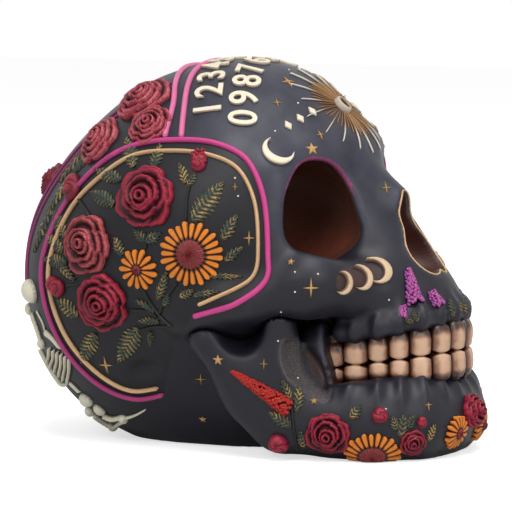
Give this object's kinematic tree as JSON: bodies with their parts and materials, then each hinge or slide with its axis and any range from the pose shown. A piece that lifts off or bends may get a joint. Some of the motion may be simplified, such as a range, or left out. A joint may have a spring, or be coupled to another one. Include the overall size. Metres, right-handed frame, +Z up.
{
  "type": "decorative skull",
  "caption": "Desk ornament shaped as a human skull tilted back with clenched teeth, covered in raised painted flowers, cords, moons and a sunburst, with a flat base.",
  "frame": {"origin": "middle of the bounding box, on the floor that the skull rests on", "axes": "+Z up, the face looks towards -Y, the skull's right side is -X"},
  "size_m": [0.1436, 0.2002, 0.1564],
  "materials": {
    "skull_paint": "satin dark charcoal paint on cast resin, brushed lighter on the high places",
    "jaw_paint": "satin dark charcoal paint on cast resin",
    "tooth_paint": "satin tan paint with a brown wash between the teeth",
    "magenta_paint": "satin magenta paint",
    "tan_paint": "satin tan paint",
    "pink_paint": "satin pink paint",
    "leaf_paint": "satin grey green paint with tan highlights",
    "cream_paint": "satin cream paint",
    "gold_paint": "satin gold coloured paint",
    "bone_paint": "satin bone coloured paint",
    "coral_paint": "satin coral paint",
    "crimson_paint": "satin crimson paint, petal edges lighter",
    "scarlet_paint": "satin scarlet paint",
    "purple_paint": "satin purple paint",
    "dusty_rose_paint": "satin dusty rose paint",
    "orange_paint": "satin orange paint"
  },
  "bodies": {
    "root": {"skull_casting": "skull_paint", "jaw_casting": "jaw_paint", "upper_teeth": "tooth_paint", "lower_teeth": "tooth_paint", "outer_cord_right": "magenta_paint", "outer_cord_left": "magenta_paint", "inner_cord_right": "tan_paint", "inner_cord_left": "tan_paint", "rear_crown_cord": "pink_paint", "front_crown_cord": "pink_paint", "upper_leaves_right": "leaf_paint", "upper_leaves_left": "leaf_paint", "rear_leaves_right": "leaf_paint", "rear_leaves_left": "leaf_paint", "low_leaves_right": "leaf_paint", "low_leaves_left": "leaf_paint", "front_leaves_right": "leaf_paint", "front_leaves_left": "leaf_paint", "temple_moon_right": "cream_paint", "temple_moon_left": "cream_paint", "cheek_moon_1_right": "cream_paint", "cheek_moon_1_left": "cream_paint", "cheek_moon_2_right": "cream_paint", "cheek_moon_2_left": "cream_paint", "cheek_moon_3_right": "cream_paint", "cheek_moon_3_left": "cream_paint", "sunburst": "gold_paint", "bone_figure_right": "bone_paint", "bone_figure_left": "bone_paint", "rose_bud_right": "coral_paint", "rose_bud_left": "coral_paint", "thistle_bud_right": "crimson_paint", "thistle_bud_left": "crimson_paint", "spike_flower_right": "scarlet_paint", "spike_flower_left": "scarlet_paint", "cheek_lupin_right": "purple_paint", "cheek_lupin_left": "purple_paint", "crown_rose_1_right": "dusty_rose_paint", "crown_rose_1_left": "dusty_rose_paint", "crown_rose_2_right": "dusty_rose_paint", "crown_rose_2_left": "dusty_rose_paint", "crown_rose_3_right": "coral_paint", "crown_rose_3_left": "coral_paint", "top_rose_right": "crimson_paint", "top_rose_left": "crimson_paint", "rear_rose_right": "coral_paint", "rear_rose_left": "coral_paint", "low_rose_right": "crimson_paint", "low_rose_left": "crimson_paint", "sunflower_right": "orange_paint", "sunflower_left": "orange_paint", "daisy_right": "orange_paint", "daisy_left": "orange_paint", "jaw_rose_right": "crimson_paint", "jaw_rose_left": "crimson_paint", "half_sunflower_right": "orange_paint", "half_sunflower_left": "orange_paint", "zinnia_right": "orange_paint", "zinnia_left": "orange_paint", "chin_rose": "dusty_rose_paint"}
  },
  "joints": []
}
